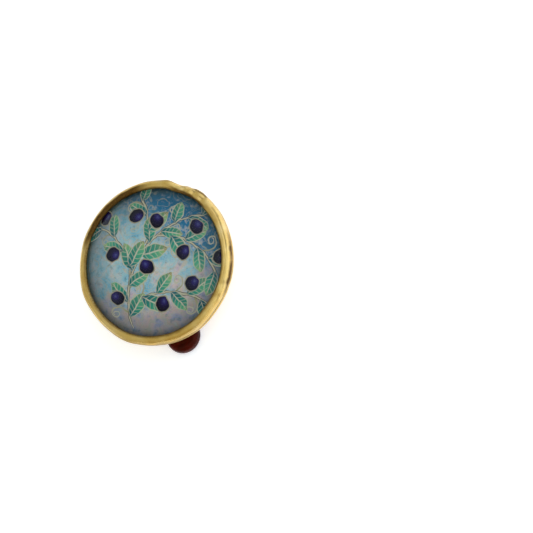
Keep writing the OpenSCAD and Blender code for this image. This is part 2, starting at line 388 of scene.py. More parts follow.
wall_r = CUP_R - CORNER_R
shoulder = (CUP_R - SHOULDER_R, SHOULDER_Z)
to_nose = (NOSE_ORBIT - shoulder[0], NOSE_Z - shoulder[1])
meet = degrees(atan2(to_nose[1], to_nose[0]) - acos((SHOULDER_R - NOSE_R) / hypot(*to_nose)))
seam_side = SEAM_W / 2
seam_floor = SEAM_W / 2 - SEAM_DEPTH
cup_section = (
    [(r, 0.0) for r in (0.0, 4.0, 7.0, 9.0, 10.6)]
    + arc((wall_r, CORNER_R), CORNER_R, -90, 0, 14)
    + [(CUP_R, SEAM_Z - seam_side), (CUP_R - SEAM_DEPTH, SEAM_Z - seam_floor)]
    + [(CUP_R - SEAM_DEPTH, SEAM_Z + seam_floor), (CUP_R, SEAM_Z + seam_side)]
    + arc(shoulder, SHOULDER_R, 0, meet, 18)
    + arc((NOSE_ORBIT, NOSE_Z), NOSE_R, meet, 196, 20)
    + [LIP_UNDER] + [(HOLLOW_R, z) for z in (2.0, 1.2, FLOOR_T)] + [(6.0, FLOOR_T), (0.0, FLOOR_T)]
)
points, faces = spun("cup_section", cup_section, plate)
azimuth = np.arctan2(points[:, 1], points[:, 0])
reach = np.hypot(points[:, 0], points[:, 1])
out = sum(size * np.sin(count * azimuth + start) for count, size, start in OUT_WAVES)
up = sum(size * np.sin(count * azimuth + start) for count, size, start in UP_WAVES)
for dent in DENTS:
    turn = np.angle(np.exp(1j * (azimuth - radians(dent.azimuth))))
    bell = np.exp(-((turn / radians(dent.width)) ** 2))
    out = out + dent.out * bell
    up = up + dent.up * bell
outer = growth(reach, *OUTWARDS)
out = np.minimum(out, MOST_OUT) * outer
out = out * (FOOT_SHARE + (1 - FOOT_SHARE) * growth(points[:, 2], *UPWARDS))
points[:, 0] += np.cos(azimuth) * out
points[:, 1] += np.sin(azimuth) * out
turn = np.angle(np.exp(1j * (azimuth - radians(CREASE["azimuth"]))))
groove = np.exp(-((turn / radians(CREASE["half_width"])) ** 4))
groove = groove * np.exp(-(((reach - CREASE["radius"]) / CREASE["width"]) ** 2))
up = up - CREASE["depth"] * groove
points[:, 2] += up * outer * growth(points[:, 2], *ON_LIP)
cup = new_piece("cup", points, faces, plate, on_cup)
finish_mesh(cup, 50)
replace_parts(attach(cup, "button"), "bezel_setting")

# The printed disc. Heavy matt card, printed in colour with a spray of leaves and berries in
# turquoise, green, navy and cream, and bonded to the glass's flat back, so its top lies against it.
PRINT_R = 12.4
PRINT_BACK = 0.52
PRINT_TOP = 0.83
ART_TURN = Matrix.Rotation(radians(161.0), 4, "Z")


def turned(name, section, material, steps, place=on_cup):
    """A finished piece that is a half section swept round its axis"""
    points, faces = spun(name + "_section", section, material, steps)
    piece = new_piece(name, points, faces, material, place)
    finish_mesh(piece)
    return piece


def bonded_ink(tree, colour, roughness=0.5):
    """Ends an ink's tree. Ink bonded to glass has no gloss of its own, so its specular level is nothing."""
    look = {"Base Color": colour, "Roughness": roughness, "Specular IOR Level": 0.0}
    end_tree(tree, "ShaderNodeBsdfPrincipled", look)


# The ground. A wash in clouds of 3 mm: pale turquoise, deep blue at the upper right, lilac pink below.
# Over it lie pale and dim wisps of 1 mm and cream ripples. Towards the rim it darkens, partly as the print
# does and partly as painted shade of the lip and the glass's edge, and at the rim an olive band is painted
# shade under the lip. The print's dots are drawn about 0.14 mm wide, coarser than they are, so that they
# show.
card, tree, place = solid_material("colour_print_on_matt_card")
art = cup_millimetres(tree, place, lean_turn @ ART_TURN)
art = add(tree, "ShaderNodeVectorMath", {0: art, 1: (1.0, 1.0, 0.0)}, operation="MULTIPLY")
shake = add(tree, "ShaderNodeTexNoise", {"Vector": art, "Scale": 0.9, "Detail": 2.0})
shake = add(
    tree, "ShaderNodeVectorMath", {0: shake.outputs["Color"], 1: (0.5, 0.5, 0.5)}, operation="SUBTRACT"
)
hand = add(tree, "ShaderNodeVectorMath", {0: shake, 1: (0.9, 0.9, 0.0), 2: art}, operation="MULTIPLY_ADD")
wash = add(tree, "ShaderNodeTexNoise", {"Vector": art, "Scale": 0.35, "Detail": 4.0, "Roughness": 0.6})
ground = add(
    tree, "ShaderNodeValToRGB", {0: wash},
    stops=[(0.32, "84D2F8"), (0.46, "B8E8FF"), (0.58, "E2F4FF"), (0.7, "FCF6FF")],
)
reach = add(tree, "ShaderNodeVectorMath", {0: art}, operation="LENGTH")
up_right, downwards = [
    add(tree, "ShaderNodeVectorMath", {0: art, 1: way}, operation="DOT_PRODUCT")
    for way in ((0.55, 0.83, 0.0), (0.1, -1.0, 0.0))
]
deep = add(tree, "ShaderNodeMath", {0: wash, 1: 9.0, 2: up_right}, operation="MULTIPLY_ADD")
deep = add(tree, "ShaderNodeMapRange", {0: deep, 1: 6.0, 2: 12.5}, interpolation_type="SMOOTHSTEP")
blush = add(tree, "ShaderNodeMath", {0: wash, 1: 24.0, 2: downwards}, operation="MULTIPLY_ADD")
blush = add(
    tree, "ShaderNodeMapRange", {0: blush, 1: 13.0, 2: 20.0, 4: 0.92}, interpolation_type="SMOOTHSTEP"
)
warm = add(tree, "ShaderNodeTexNoise", {"Vector": art, "Scale": 0.55, "Detail": 3.0})
warm = add(
    tree, "ShaderNodeValToRGB", {0: warm}, stops=[(0.36, "D2CCF4"), (0.5, "FFDCE2"), (0.64, "FFDCC4")]
)
smoke = add(tree, "ShaderNodeTexNoise", {"Vector": hand, "Scale": 1.1, "Detail": 5.0, "Roughness": 0.65})
pale = add(tree, "ShaderNodeMapRange", {0: smoke, 1: 0.54, 2: 0.64, 4: 0.74})
dim = add(tree, "ShaderNodeMapRange", {0: smoke, 1: 0.34, 2: 0.46, 3: 0.45, 4: 0.0})
swirl = add(tree, "ShaderNodeTexNoise", {"Vector": hand, "Scale": 0.3, "Detail": 0.0, "Distortion": 0.7})
ripple = add(tree, "ShaderNodeMath", {0: swirl, 1: 15.0}, operation="MULTIPLY")
ripple = add(tree, "ShaderNodeMath", {0: ripple, 1: 1.0}, operation="PINGPONG")
ripple = add(tree, "ShaderNodeMapRange", {0: ripple, 1: 0.08, 2: 0.2, 3: 0.7, 4: 0.0})
layers = [
    (deep, linear("2E8CC8")), (blush, warm), (pale, linear("F2EEF8")), (dim, linear("427484")),
    (ripple, linear("E6E0D2")),
]
for cover, colour in layers:
    ground = add(tree, "ShaderNodeMix", {0: cover, 6: ground, 7: colour}, data_type="RGBA")
dots = add(tree, "ShaderNodeTexNoise", {"Vector": art, "Scale": 7.0, "Detail": 3.0})
dots = add(tree, "ShaderNodeMapRange", {0: dots, 1: 0.3, 2: 0.7, 3: 0.96, 4: 1.16})
ground = add(tree, "ShaderNodeVectorMath", {0: ground, "Scale": dots}, operation="SCALE")
# Painted shade, partly the print's own darker edge: a darkening towards the rim, and an olive band under the
# lip
dusk = add(
    tree, "ShaderNodeMapRange", {0: reach, 1: 5.5, 2: 11.5, 4: 0.52}, interpolation_type="SMOOTHSTEP"
)
rim = add(tree, "ShaderNodeMapRange", {0: reach, 1: 10.4, 2: 12.1, 4: 0.75})
for cover, colour in ((dusk, linear("2C6A92")), (rim, linear("464618"))):
    ground = add(tree, "ShaderNodeMix", {0: cover, 6: ground, 7: colour}, data_type="RGBA")
bonded_ink(tree, ground, 0.55)

print_section = [(r, PRINT_BACK) for r in (0.0, 6.0, PRINT_R)] + [(r, PRINT_TOP) for r in (PRINT_R, 6.0, 0.0)]
print_face = turned("print_face", print_section, card, 192)
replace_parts(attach(print_face, "button"), "print_disc")

# The spray printed on the disc. Films of ink: tendrils, stems, then leaves to their left and right by
# turns, then berries, each drawn with a cream line. A film is thinner than it is drawn here.
LEAF_STEP = 2.3
LEAF_LEN = 4.6
LEAF_HALF_W = 1.25
LEAF_SPREAD = 44.0
LEAF_ROWS = 16
BERRY_OFFSET = 1.8
BERRY_SIZE = (1.35, 1.2)
BERRY_SIDES = 28
STEM_HALF_W = 0.2
STEM_ROWS = 8
STEM_PIECES = 12
TENDRIL_LEN = 6.4
TENDRIL_HALF_W = 0.12
TENDRIL_CURL = 3.1 * pi
TENDRIL_SPREAD = 38.0
TENDRIL_ROWS = 48
WOBBLE = 0.6
FILM = 0.001

# Each stem is an arc. The berries and the tendrils stand at shares of its length, outside it or, where
# the sign is minus, inside it
STEMS = [
    {
        "centre": (9.5, -6.0), "radius": 13.5, "start": 198, "end": 96,
        "berries": (0.20, -0.44, 0.70, -0.93), "tendrils": (0.1, -0.26, 0.52, -0.66, 0.8),
    },
    {
        "centre": (-12.8, -3.2), "radius": 9.4, "start": 2, "end": 70,
        "berries": (-0.50, 0.98), "tendrils": (0.3, -0.75),
    },
    {
        "centre": (2.5, -16.5), "radius": 12.0, "start": 120, "end": 50,
        "berries": (-0.36, 0.66), "tendrils": (0.12, -0.2, 0.5, -0.72),
    },
    {
        "centre": (-9.6, 5.0), "radius": 8.6, "start": -16, "end": 36,
        "berries": (-0.66,), "tendrils": (0.3, -0.85),
    },
    {
        "centre": (1.5, -5.5), "radius": 9.5, "start": 95, "end": 22,
        "berries": (-0.42, 0.84), "tendrils": (0.2, -0.25, 0.62),
    },
]


def motif(name, points, faces, places):
    """A flat motif with a map that runs from 0 to 1 along it and across it"""
    shape = new_piece(name, points, faces)
    layer = shape.data.uv_layers.new(name="motif")
    for loop in shape.data.loops:
        layer.data[loop.index].uv = places[loop.vertex_index]
    return shape


leaf_points, leaf_places = [], []
for i in range(LEAF_ROWS + 1):
    along = i / LEAF_ROWS
    half = (4 * along * (1 - along)) ** 0.8
    for across in (-1, -0.5, 0, 0.5, 1):
        leaf_points.append((along, across * half, 0))
        leaf_places.append((along, (across + 1) / 2))
leaf_faces = [
    (5 * i + k, 5 * i + k + 5, 5 * i + k + 6, 5 * i + k + 1) for i in range(LEAF_ROWS) for k in range(4)
]
leaf_shape = motif("leaf_motif", leaf_points, leaf_faces, leaf_places)

berry_rim = [(cos(a), sin(a), 0) for a in np.linspace(0, 2 * pi, BERRY_SIDES + 1)[:-1]]
berry_points = [(0, 0, 0)] + berry_rim
berry_places = [(0.5 + x / 2, 0.5 + y / 2) for x, y, z in berry_points]
berry_faces = [(0, i + 1, (i + 1) % BERRY_SIDES + 1) for i in range(BERRY_SIDES)]
berry_shape = motif("berry_motif", berry_points, berry_faces, berry_places)

stem_points = [(x, y, 0) for x in np.linspace(0, 1, STEM_ROWS + 1) for y in (-1, 1)]
stem_places = [(x, (y + 1) / 2) for x, y, z in stem_points]
stem_faces = [(2 * i, 2 * i + 2, 2 * i + 3, 2 * i + 1) for i in range(STEM_ROWS)]
stem_shape = motif("stem_motif", stem_points, stem_faces, stem_places)

# A tendril curls up tighter towards its end, as a vine's does, to the left or to the right
tendril_shapes = {}
tendril_faces = [(2 * i, 2 * i + 2, 2 * i + 3, 2 * i + 1) for i in range(TENDRIL_ROWS)]
for side, word in ((1, "left"), (-1, "right")):
    spine, tendril_points, tendril_places = Vector((0, 0)), [], []
    for i in range(TENDRIL_ROWS + 1):
        along = i / TENDRIL_ROWS
        heading = side * TENDRIL_CURL * along**2
        wide = Vector((-sin(heading), cos(heading))) * (1.0 - 0.55 * along)
        for across in (-1, 1):
            spot = spine + wide * (across * TENDRIL_HALF_W / TENDRIL_LEN)
            tendril_points.append((spot.x, spot.y, 0))
            tendril_places.append((along, (across + 1) / 2))
        spine = spine + Vector((cos(heading), sin(heading))) / TENDRIL_ROWS
    tendril_shapes[side] = motif(f"tendril_motif_{word}", tendril_points, tendril_faces, tendril_places)


def set_out_tree():
    """Geometry nodes that set a motif out on points, turned and sized by the points' attributes"""
    sizes = [("Motif", "Object", None), ("Wobble", "Float", WOBBLE), ("Disc Radius", "Float", PRINT_R)]
    sockets = [("Geometry", "Geometry", None), *sizes, ("Material", "Material", None)]
    tree, given = new_shape_tree("set_out_motifs", sockets)
    shape = add(tree, "GeometryNodeObjectInfo", {"Object": given["Motif"]}).outputs["Geometry"]
    turn, length, width = [
        add(tree, "GeometryNodeInputNamedAttribute", {"Name": name}, data_type="FLOAT")
        for name in ("turn", "length", "width")
    ]
    rotation = add(tree, "ShaderNodeCombineXYZ", {"Z": turn})
    size = add(tree, "ShaderNodeCombineXYZ", {"X": length, "Y": width, "Z": 1.0})
    copies = add(
        tree, "GeometryNodeInstanceOnPoints",
        {"Points": given["Geometry"], "Instance": shape, "Rotation": rotation, "Scale": size},
    )
    real = add(tree, "GeometryNodeRealizeInstances", {"Geometry": copies})
    shake = add(tree, "ShaderNodeTexNoise", {"Scale": 0.8, "Detail": 1.0}).outputs["Color"]
    shake = add(tree, "ShaderNodeVectorMath", {0: shake, 1: (0.5, 0.5, 0.5)}, operation="SUBTRACT")
    shake = add(tree, "ShaderNodeVectorMath", {0: shake, 1: (1.0, 1.0, 0.0)}, operation="MULTIPLY")
    shake = add(tree, "ShaderNodeVectorMath", {0: shake, "Scale": given["Wobble"]}, operation="SCALE")
    drawn = add(tree, "GeometryNodeSetPosition", {"Geometry": real, "Offset": shake})
    where = add(tree, "GeometryNodeInputPosition")
    flat = add(tree, "ShaderNodeVectorMath", {0: where, 1: (1.0, 1.0, 0.0)}, operation="MULTIPLY")
    reach = add(tree, "ShaderNodeVectorMath", {0: flat}, operation="LENGTH")
    share = add(tree, "ShaderNodeMath", {0: given["Disc Radius"], 1: reach}, operation="DIVIDE")
    share = add(tree, "ShaderNodeMath", {0: share, 1: 1.0}, operation="MINIMUM")
    held = add(tree, "ShaderNodeCombineXYZ", {"X": share, "Y": share, "Z": 1.0})
    held = add(tree, "ShaderNodeVectorMath", {0: where, 1: held}, operation="MULTIPLY")
    trimmed = add(tree, "GeometryNodeSetPosition", {"Geometry": drawn, "Position": held})
    inked = add(tree, "GeometryNodeSetMaterial", {"Geometry": trimmed, "Material": given["Material"]})
    add(tree, "NodeGroupOutput", {"Geometry": inked})
    return tree


SET_OUT = set_out_tree()


def set_out(name, shape, rows, ink):
    """A piece of the spray: a motif set out on the disc at each row's foot, turned and sized"""
    points = [(*row["foot"], PRINT_TOP + row["film"]) for row in rows]
    piece = new_piece(name, points, [])
    for value in ("turn", "length", "width", "tint"):
        attribute = piece.data.attributes.new(value, "FLOAT", "POINT")
        attribute.data.foreach_set("value", [row[value] for row in rows])
    values = {"Motif": shape, "Wobble": WOBBLE, "Disc Radius": PRINT_R - 0.1, "Material": ink}
    piece.data = shaped_mesh(piece, SET_OUT, values)
    piece.data.transform(on_cup @ ART_TURN)
    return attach(piece, "button")


def motif_ink(name):
    """An ink's material and tree, with how far along and across its motif each point lies"""
    ink, tree = new_material(name)
    axes = add(tree, "ShaderNodeSeparateXYZ", {0: add(tree, "ShaderNodeUVMap", uv_map="motif")})
    return ink, tree, axes.outputs[0], axes.outputs[1]


# Green leaf ink, darker on one half, with a cream outline, midrib and side veins
leaf_ink, tree, along, across = motif_ink("green_leaf_ink")
side = add(tree, "ShaderNodeMath", {0: across, 1: 2.0, 2: -1.0}, operation="MULTIPLY_ADD")
off = add(tree, "ShaderNodeMath", {0: side}, operation="ABSOLUTE")
outline = add(tree, "ShaderNodeMapRange", {0: off, 1: 0.8, 2: 0.88, 4: 0.85})
midrib = add(tree, "ShaderNodeMapRange", {0: off, 1: 0.05, 2: 0.13, 3: 0.9, 4: 0.0})
slant = add(tree, "ShaderNodeMath", {0: off, 1: -0.16, 2: along}, operation="MULTIPLY_ADD")
slant = add(tree, "ShaderNodeMath", {0: slant, 1: 6.0}, operation="MULTIPLY")
slant = add(tree, "ShaderNodeMath", {0: slant}, operation="FRACT")
vein = add(tree, "ShaderNodeMapRange", {0: slant, 1: 0.74, 2: 0.86, 4: 0.5})
lines = add(tree, "ShaderNodeMath", {0: outline, 1: midrib}, operation="MAXIMUM")
lines = add(tree, "ShaderNodeMath", {0: lines, 1: vein}, operation="MAXIMUM")
tint = add(tree, "ShaderNodeAttribute", attribute_name="tint").outputs["Fac"]
tint = add(tree, "ShaderNodeMath", {0: tint, 1: along}, operation="ADD")
drawn = add(
    tree, "ShaderNodeValToRGB", {0: tint},
    stops=[(0.0, "2A7A92"), (0.35, "48B6A2"), (0.7, "72D0AA"), (0.95, "BADA96"), (1.0, "C4B878")],
)
half = add(tree, "ShaderNodeMath", {0: side, 1: 0.0}, operation="GREATER_THAN")
half = add(tree, "ShaderNodeMath", {0: half, 1: 0.38}, operation="MULTIPLY")
for cover, colour in ((half, linear("20607A")), (lines, linear("FBF3E2"))):
    drawn = add(tree, "ShaderNodeMix", {0: cover, 6: drawn, 7: colour}, data_type="RGBA")
bonded_ink(tree, drawn)

# Navy berry ink, violet on its lit side, with a cream outline
berry_ink, tree = new_material("navy_berry_ink")
spot = add(tree, "ShaderNodeUVMap", uv_map="motif")
reach, lit = [
    add(tree, "ShaderNodeVectorMath", {0: spot, 1: middle}, operation="DISTANCE")
    for middle in ((0.5, 0.5, 0.0), (0.64, 0.36, 0.0))
]
navy = add(
    tree, "ShaderNodeValToRGB", {0: lit},
    stops=[(0.0, "5A62AC"), (0.12, "362C86"), (0.28, "1C144E"), (0.5, "0D0A30")],
)
rim = add(tree, "ShaderNodeMapRange", {0: reach, 1: 0.42, 2: 0.45, 4: 0.8})
drawn = add(tree, "ShaderNodeMix", {0: rim, 6: navy, 7: linear("E2DAC6")}, data_type="RGBA")
bonded_ink(tree, drawn)

# Stem ink, cream between two brown lines
stem_ink, tree, along, across = motif_ink("cream_stem_ink")
off = add(tree, "ShaderNodeMath", {0: across, 1: 0.5}, operation="SUBTRACT")
off = add(tree, "ShaderNodeMath", {0: off}, operation="ABSOLUTE")
edge = add(tree, "ShaderNodeMapRange", {0: off, 1: 0.26, 2: 0.36})
drawn = add(tree, "ShaderNodeMix", {0: edge, 6: linear("EEE6D2"), 7: linear("4A4034")}, data_type="RGBA")
bonded_ink(tree, drawn)

# Tendril ink, a thin cream line that pales towards its curled end
tendril_ink, tree, along, across = motif_ink("cream_tendril_ink")
drawn = add(
    tree, "ShaderNodeValToRGB", {0: along}, stops=[(0.0, "B8B890"), (0.3, "DCD6BE"), (1.0, "F2EEE2")]
)
bonded_ink(tree, drawn)


def spray_row(foot, turn, length, width, films, tint=0.0):
    """Where one motif stands, how it is turned and sized, the films of ink below it and its tint"""
    return {
        "foot": foot, "turn": turn, "length": length, "width": width, "film": FILM * films, "tint": tint
    }


stem_rows, leaf_rows, berry_rows, tendril_rows = [], [], [], {1: [], -1: []}
for row in STEMS:
    start, end = radians(row["start"]), radians(row["end"])
    centre, bend = Vector(row["centre"]), row["radius"]
    way = 1 if end > start else -1
    step = (end - start) / STEM_PIECES
    for i in range(STEM_PIECES):
        angle = start + step * i
        foot = centre + bend * Vector((cos(angle), sin(angle)))
        length = 2.02 * bend * abs(sin(step / 2))
        stem_rows.append(spray_row(foot, angle + step / 2 + way * pi / 2, length, STEM_HALF_W, 4))
    leaves = int(abs(end - start) * bend / LEAF_STEP)
    for i in range(leaves):
        share = (i + 0.8) / leaves
        angle = start + (end - start) * share
        side = 1 if i % 2 else -1
        foot = centre + bend * Vector((cos(angle), sin(angle)))
        turn = angle + way * pi / 2 + side * radians(LEAF_SPREAD)
        length = LEAF_LEN * (1.0 - 0.2 * share) * (1.0 + 0.1 * sin(5 * i))
        width = LEAF_HALF_W * length / LEAF_LEN
        tint = 0.12 * sin(3 * i + bend) + 0.12 - 0.3 * foot.length / PRINT_R
        leaf_rows.append(spray_row(foot, turn, length, width, 8 + len(leaf_rows), tint))
    for share in row["berries"]:
        angle = start + (end - start) * abs(share)
        out = bend + (BERRY_OFFSET if share > 0 else -BERRY_OFFSET)
        foot = centre + out * Vector((cos(angle), sin(angle)))
        berry_rows.append(spray_row(foot, angle, *BERRY_SIZE, 40 + len(berry_rows)))
    for share in row["tendrils"]:
        side = way if share < 0 else -way
        angle = start + (end - start) * abs(share)
        foot = centre + bend * Vector((cos(angle), sin(angle)))
        turn = angle + way * pi / 2 + side * radians(TENDRIL_SPREAD)
        length = TENDRIL_LEN * (1.0 + 0.22 * sin(7 * share + bend))
        tendril_rows[side].append(spray_row(foot, turn, length, length, 2))
set_out("printed_tendrils_left", tendril_shapes[1], tendril_rows[1], tendril_ink)
set_out("printed_tendrils_right", tendril_shapes[-1], tendril_rows[-1], tendril_ink)
set_out("printed_stems", stem_shape, stem_rows, stem_ink)
set_out("printed_leaves", leaf_shape, leaf_rows, leaf_ink)
set_out("printed_berries", berry_shape, berry_rows, berry_ink)
for shape in (leaf_shape, berry_shape, stem_shape, *tendril_shapes.values()):
    bpy.data.objects.remove(shape)

# The cabochon. Clear soda-lime glass, pressed in a mould with a flat back and fire polished, held
# in the cup by the lip alone.
GLASS_R = 12.5
GLASS_BACK = 0.79
GLASS_EDGE_TOP = 2.09
GLASS_CHAMFER = 0.15
DOME_RISE = 4.0
DOME_R = (GLASS_R**2 + DOME_RISE**2) / (2 * DOME_RISE)
DOME_Z = GLASS_EDGE_TOP + DOME_RISE - DOME_R

# Its skin swells a little, in waves of 8 mm, and handling leaves smears of 2.5 mm that soften the gloss
glass, tree, place = solid_material("clear_fire_polished_glass")
swell = add(tree, "ShaderNodeTexNoise", {"Vector": place, "Scale": 120.0, "Detail": 2.0})
ripple = add(tree, "ShaderNodeBump", {"Height": swell, "Strength": 0.1, "Distance": 0.00005})
smear = add(tree, "ShaderNodeTexNoise", {"Vector": place, "Scale": 400.0, "Detail": 3.0})
smear = add(tree, "ShaderNodeMapRange", {0: smear, 1: 0.4, 2: 0.7, 4: 0.03})
end_tree(
    tree, "ShaderNodeBsdfPrincipled",
    {
        "Base Color": linear("FCFEFE"),
        "Roughness": smear,
        "IOR": 1.5,
        "Transmission Weight": 1.0,
        "Specular Tint": (0.45, 0.45, 0.45, 1.0),
        "Normal": ripple,
    },
)

edge_angle = degrees(np.arcsin(GLASS_R / DOME_R))
glass_section = (
    [(0.0, GLASS_BACK), (6.0, GLASS_BACK), (GLASS_R - GLASS_CHAMFER, GLASS_BACK)]
    + [(GLASS_R, GLASS_BACK + GLASS_CHAMFER)]
    + arc((0.0, DOME_Z), DOME_R, 90 - edge_angle, 90, 60)
)
cabochon = turned("cabochon", glass_section, glass, 256)
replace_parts(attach(cabochon, "button"), "glass_cabochon")

# The hinge bracket. A round pad of brass strip with two ears folded up from it and a leaf spring
# between them, soft-soldered to the middle of the cup's back and plated with it.
PAD_T = 0.5
SOLDER_R = 0.3
SUNK = 0.05
EAR_T = 0.6
EAR_R = 1.55
EAR_INNER_X = 2.45
BASE_T = 0.4
SPRING_T = 0.3
SPRING_W = 2.6
SPRING_SUNK = 0.03
SPRING_FOOT = 1.5
SPRING_TIP_R = 1.22
SPRING_TIP_ANGLE = radians(45)
BRACKET_ROUND = 0.09


def bar(outline, inner, outer):
    """Points and faces of a bar along X of an outline drawn in Y and Z"""
    count = len(outline)
    points = [(x, y, z) for x in (inner, outer) for y, z in outline]
    sides = [(i, (i + 1) % count, (i + 1) % count + count, i + count) for i in range(count)]
    return points, [tuple(range(count))[::-1], tuple(range(count, 2 * count))] + sides


def joined(parts):
    """Points and faces of several meshes as one"""
    points, faces = [], []
    for more_points, more_faces in parts:
        start = len(points)
        points += [tuple(p) for p in more_points]
        faces += [tuple(i + start for i in face) for face in more_faces]
    return points, faces


def round_edges(piece, width):
    """Rounds a piece's sharp edges by a width in millimetres, as tumbling and polishing do"""
    bevel = piece.modifiers.new("round_edges", "BEVEL")
    bevel.width = width * MM
    bevel.segments = 3
    bevel.limit_method = "ANGLE"
    bevel.angle_limit = radians(30)
    piece.data = worked_mesh(piece)


pad_face = SUNK - PAD_T
ear_outline = arc((-HINGE_BACK, -HINGE_DROP), EAR_R, 180, 360, 24)
ear_outline += [(EAR_R - HINGE_BACK, pad_face), (-EAR_R - HINGE_BACK, pad_face)]
base_outline = [(-EAR_R - HINGE_BACK, z) for z in (pad_face, -PAD_T - BASE_T)]
base_outline += [(EAR_R - HINGE_BACK, z) for z in (-PAD_T - BASE_T, pad_face)]
bend_y = 2 * SPRING_TIP_R - HINGE_BACK
tip_y = SPRING_TIP_R * cos(SPRING_TIP_ANGLE) - HINGE_BACK
tip_z = SPRING_TIP_R * sin(SPRING_TIP_ANGLE) - HINGE_DROP
spring_outline = [
    (bend_y + SPRING_FOOT, SPRING_SUNK - PAD_T),
    (bend_y + SPRING_FOOT, -PAD_T - SPRING_T),
    (bend_y, -PAD_T - SPRING_T),
    (tip_y, tip_z),
    (tip_y, tip_z + SPRING_T),
    (bend_y, SPRING_SUNK - PAD_T),
]
fillet = [(PAD_R + SOLDER_R, SUNK)] + arc((PAD_R + SOLDER_R, -SOLDER_R), SOLDER_R, 90, 180, 6)
pad_section = [(0.0, SUNK)] + fillet + [(PAD_R, -PAD_T), (0.0, -PAD_T)]
pad_points, pad_faces = spun("pad_section", pad_section, plate, 96)
pad_points[:, 1] -= HINGE_BACK / 3
bracket_points, bracket_faces = joined(
    [
        (pad_points, pad_faces),
        bar(ear_outline, EAR_INNER_X, EAR_INNER_X + EAR_T),
        bar(ear_outline, -EAR_INNER_X - EAR_T, -EAR_INNER_X),
        bar(base_outline, -EAR_INNER_X - SUNK, EAR_INNER_X + SUNK),
        bar(spring_outline, -SPRING_W / 2, SPRING_W / 2),
    ]
)
bracket = new_piece("hinge_bracket", bracket_points, bracket_faces, plate, on_cup)
finish_mesh(bracket)
round_edges(bracket, BRACKET_ROUND)
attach(bracket, "button")

# The hinge pin. Drawn brass wire pushed through both ears and the clip's knuckle, its ends peened
# over into low domed heads.
PIN_R = 0.45
PIN_HALF = 3.07
HEAD_R = 0.8
HEAD_T = 0.25
HEAD_UNDERCUT = 0.06

# The hammer has left small flats, 0.4 mm across
wire, tree, place = solid_material("drawn_brass_wire")
hammer = add(tree, "ShaderNodeTexNoise", {"Vector": place, "Scale": 2600.0, "Detail": 3.0})
tone = add(tree, "ShaderNodeValToRGB", {0: hammer}, stops=[(0.3, "C9A35A"), (0.7, "E7C67F")])
flats = add(tree, "ShaderNodeBump", {"Height": hammer, "Strength": 0.35, "Distance": 0.00005})
metal_skin(tree, tone, 0.27, flats)

head_dome_r = (HEAD_R**2 + HEAD_T**2) / (2 * HEAD_T)
head_angle = degrees(np.arcsin(HEAD_R / head_dome_r))
half_pin = arc((0.0, PIN_HALF + HEAD_T - head_dome_r), head_dome_r, 90, 90 - head_angle, 8)
half_pin += [(HEAD_R - HEAD_UNDERCUT, PIN_HALF), (PIN_R, PIN_HALF)]
pin_section = half_pin + [(r, -z) for r, z in reversed(half_pin)]
pin = turned("pin", pin_section, wire, 48, on_hinge @ Matrix.Rotation(radians(90), 4, "Y"))
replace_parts(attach(pin, "button"), "hinge_pin")

# The clip. One strip of brass, rolled at one end into a knuckle round the pin, narrowed to a waist
# and rounded at its other end, which carries the cushion. Tumbled and gold plated, satin.
KNUCKLE_R = 1.1
KNUCKLE_W = 4.6
KNUCKLE_PLAY = 0.05
KNUCKLE_STEPS = 48
STRIP_START = 0.55
STRIP_T = 0.6
STRIP_OFFSET = 0.5
STRIP_LEN = 15.385
STRIP_ROUND = 0.1
WAIST_W = 3.2
WAIST_Y = 4.743
PADDLE_R = 1.95

# Its grain runs along the strip, lines 0.1 mm wide and 1 mm long, under patches of tone of 2 mm
satin, tree, place = solid_material("satin_gold_plated_strip")
along = add(tree, "ShaderNodeMapping", {"Vector": place, "Scale": (9000.0, 900.0, 9000.0)})
grain = add(tree, "ShaderNodeTexNoise", {"Vector": along, "Scale": 1.0, "Detail": 4.0})
worn = add(tree, "ShaderNodeTexNoise", {"Vector": place, "Scale": 500.0, "Detail": 3.0})
tone = add(
    tree, "ShaderNodeValToRGB", {0: worn}, stops=[(0.3, "D9B364"), (0.55, "EBC97C"), (0.75, "F1D38B")]
)
rough = add(tree, "ShaderNodeMapRange", {0: grain, 1: 0.3, 2: 0.7, 3: 0.24, 4: 0.4})
dip = add(tree, "ShaderNodeBump", {"Height": grain, "Strength": 0.25, "Distance": 0.00003})
metal_skin(tree, tone, rough, dip)

strip_plan = (
    [(KNUCKLE_W / 2, STRIP_START), (KNUCKLE_W / 2, KNUCKLE_R), (WAIST_W / 2, WAIST_Y)]
    + arc((0, STRIP_LEN), PADDLE_R, 0, 180, 32)
    + [(-WAIST_W / 2, WAIST_Y), (-KNUCKLE_W / 2, KNUCKLE_R), (-KNUCKLE_W / 2, STRIP_START)]
)
upended, strip_faces = bar(strip_plan, -STRIP_OFFSET - STRIP_T / 2, -STRIP_OFFSET + STRIP_T / 2)
strip_points = [(x, y, z) for z, x, y in upended]
ring = [arc((0, 0), r, 0, 360, KNUCKLE_STEPS)[:-1] for r in (KNUCKLE_R, PIN_R + KNUCKLE_PLAY)]
ring_points = [(x, y, z) for x in (-KNUCKLE_W / 2, KNUCKLE_W / 2) for rim in ring for y, z in rim]
ring_faces = []
n = KNUCKLE_STEPS
for i in range(n):
    j = (i + 1) % n
    ring_faces += [
        (i, j, 2 * n + j, 2 * n + i),
        (n + j, n + i, 3 * n + i, 3 * n + j),
        (i, n + i, n + j, j),
        (2 * n + i, 2 * n + j, 3 * n + j, 3 * n + i),
    ]
clip_points, clip_faces = joined([(strip_points, strip_faces), (ring_points, ring_faces)])
strip = new_piece("clip_strip", clip_points, clip_faces, satin, on_hinge)
finish_mesh(strip)
round_edges(strip, STRIP_ROUND)
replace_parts(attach(strip, "clip"), "clip_paddle")

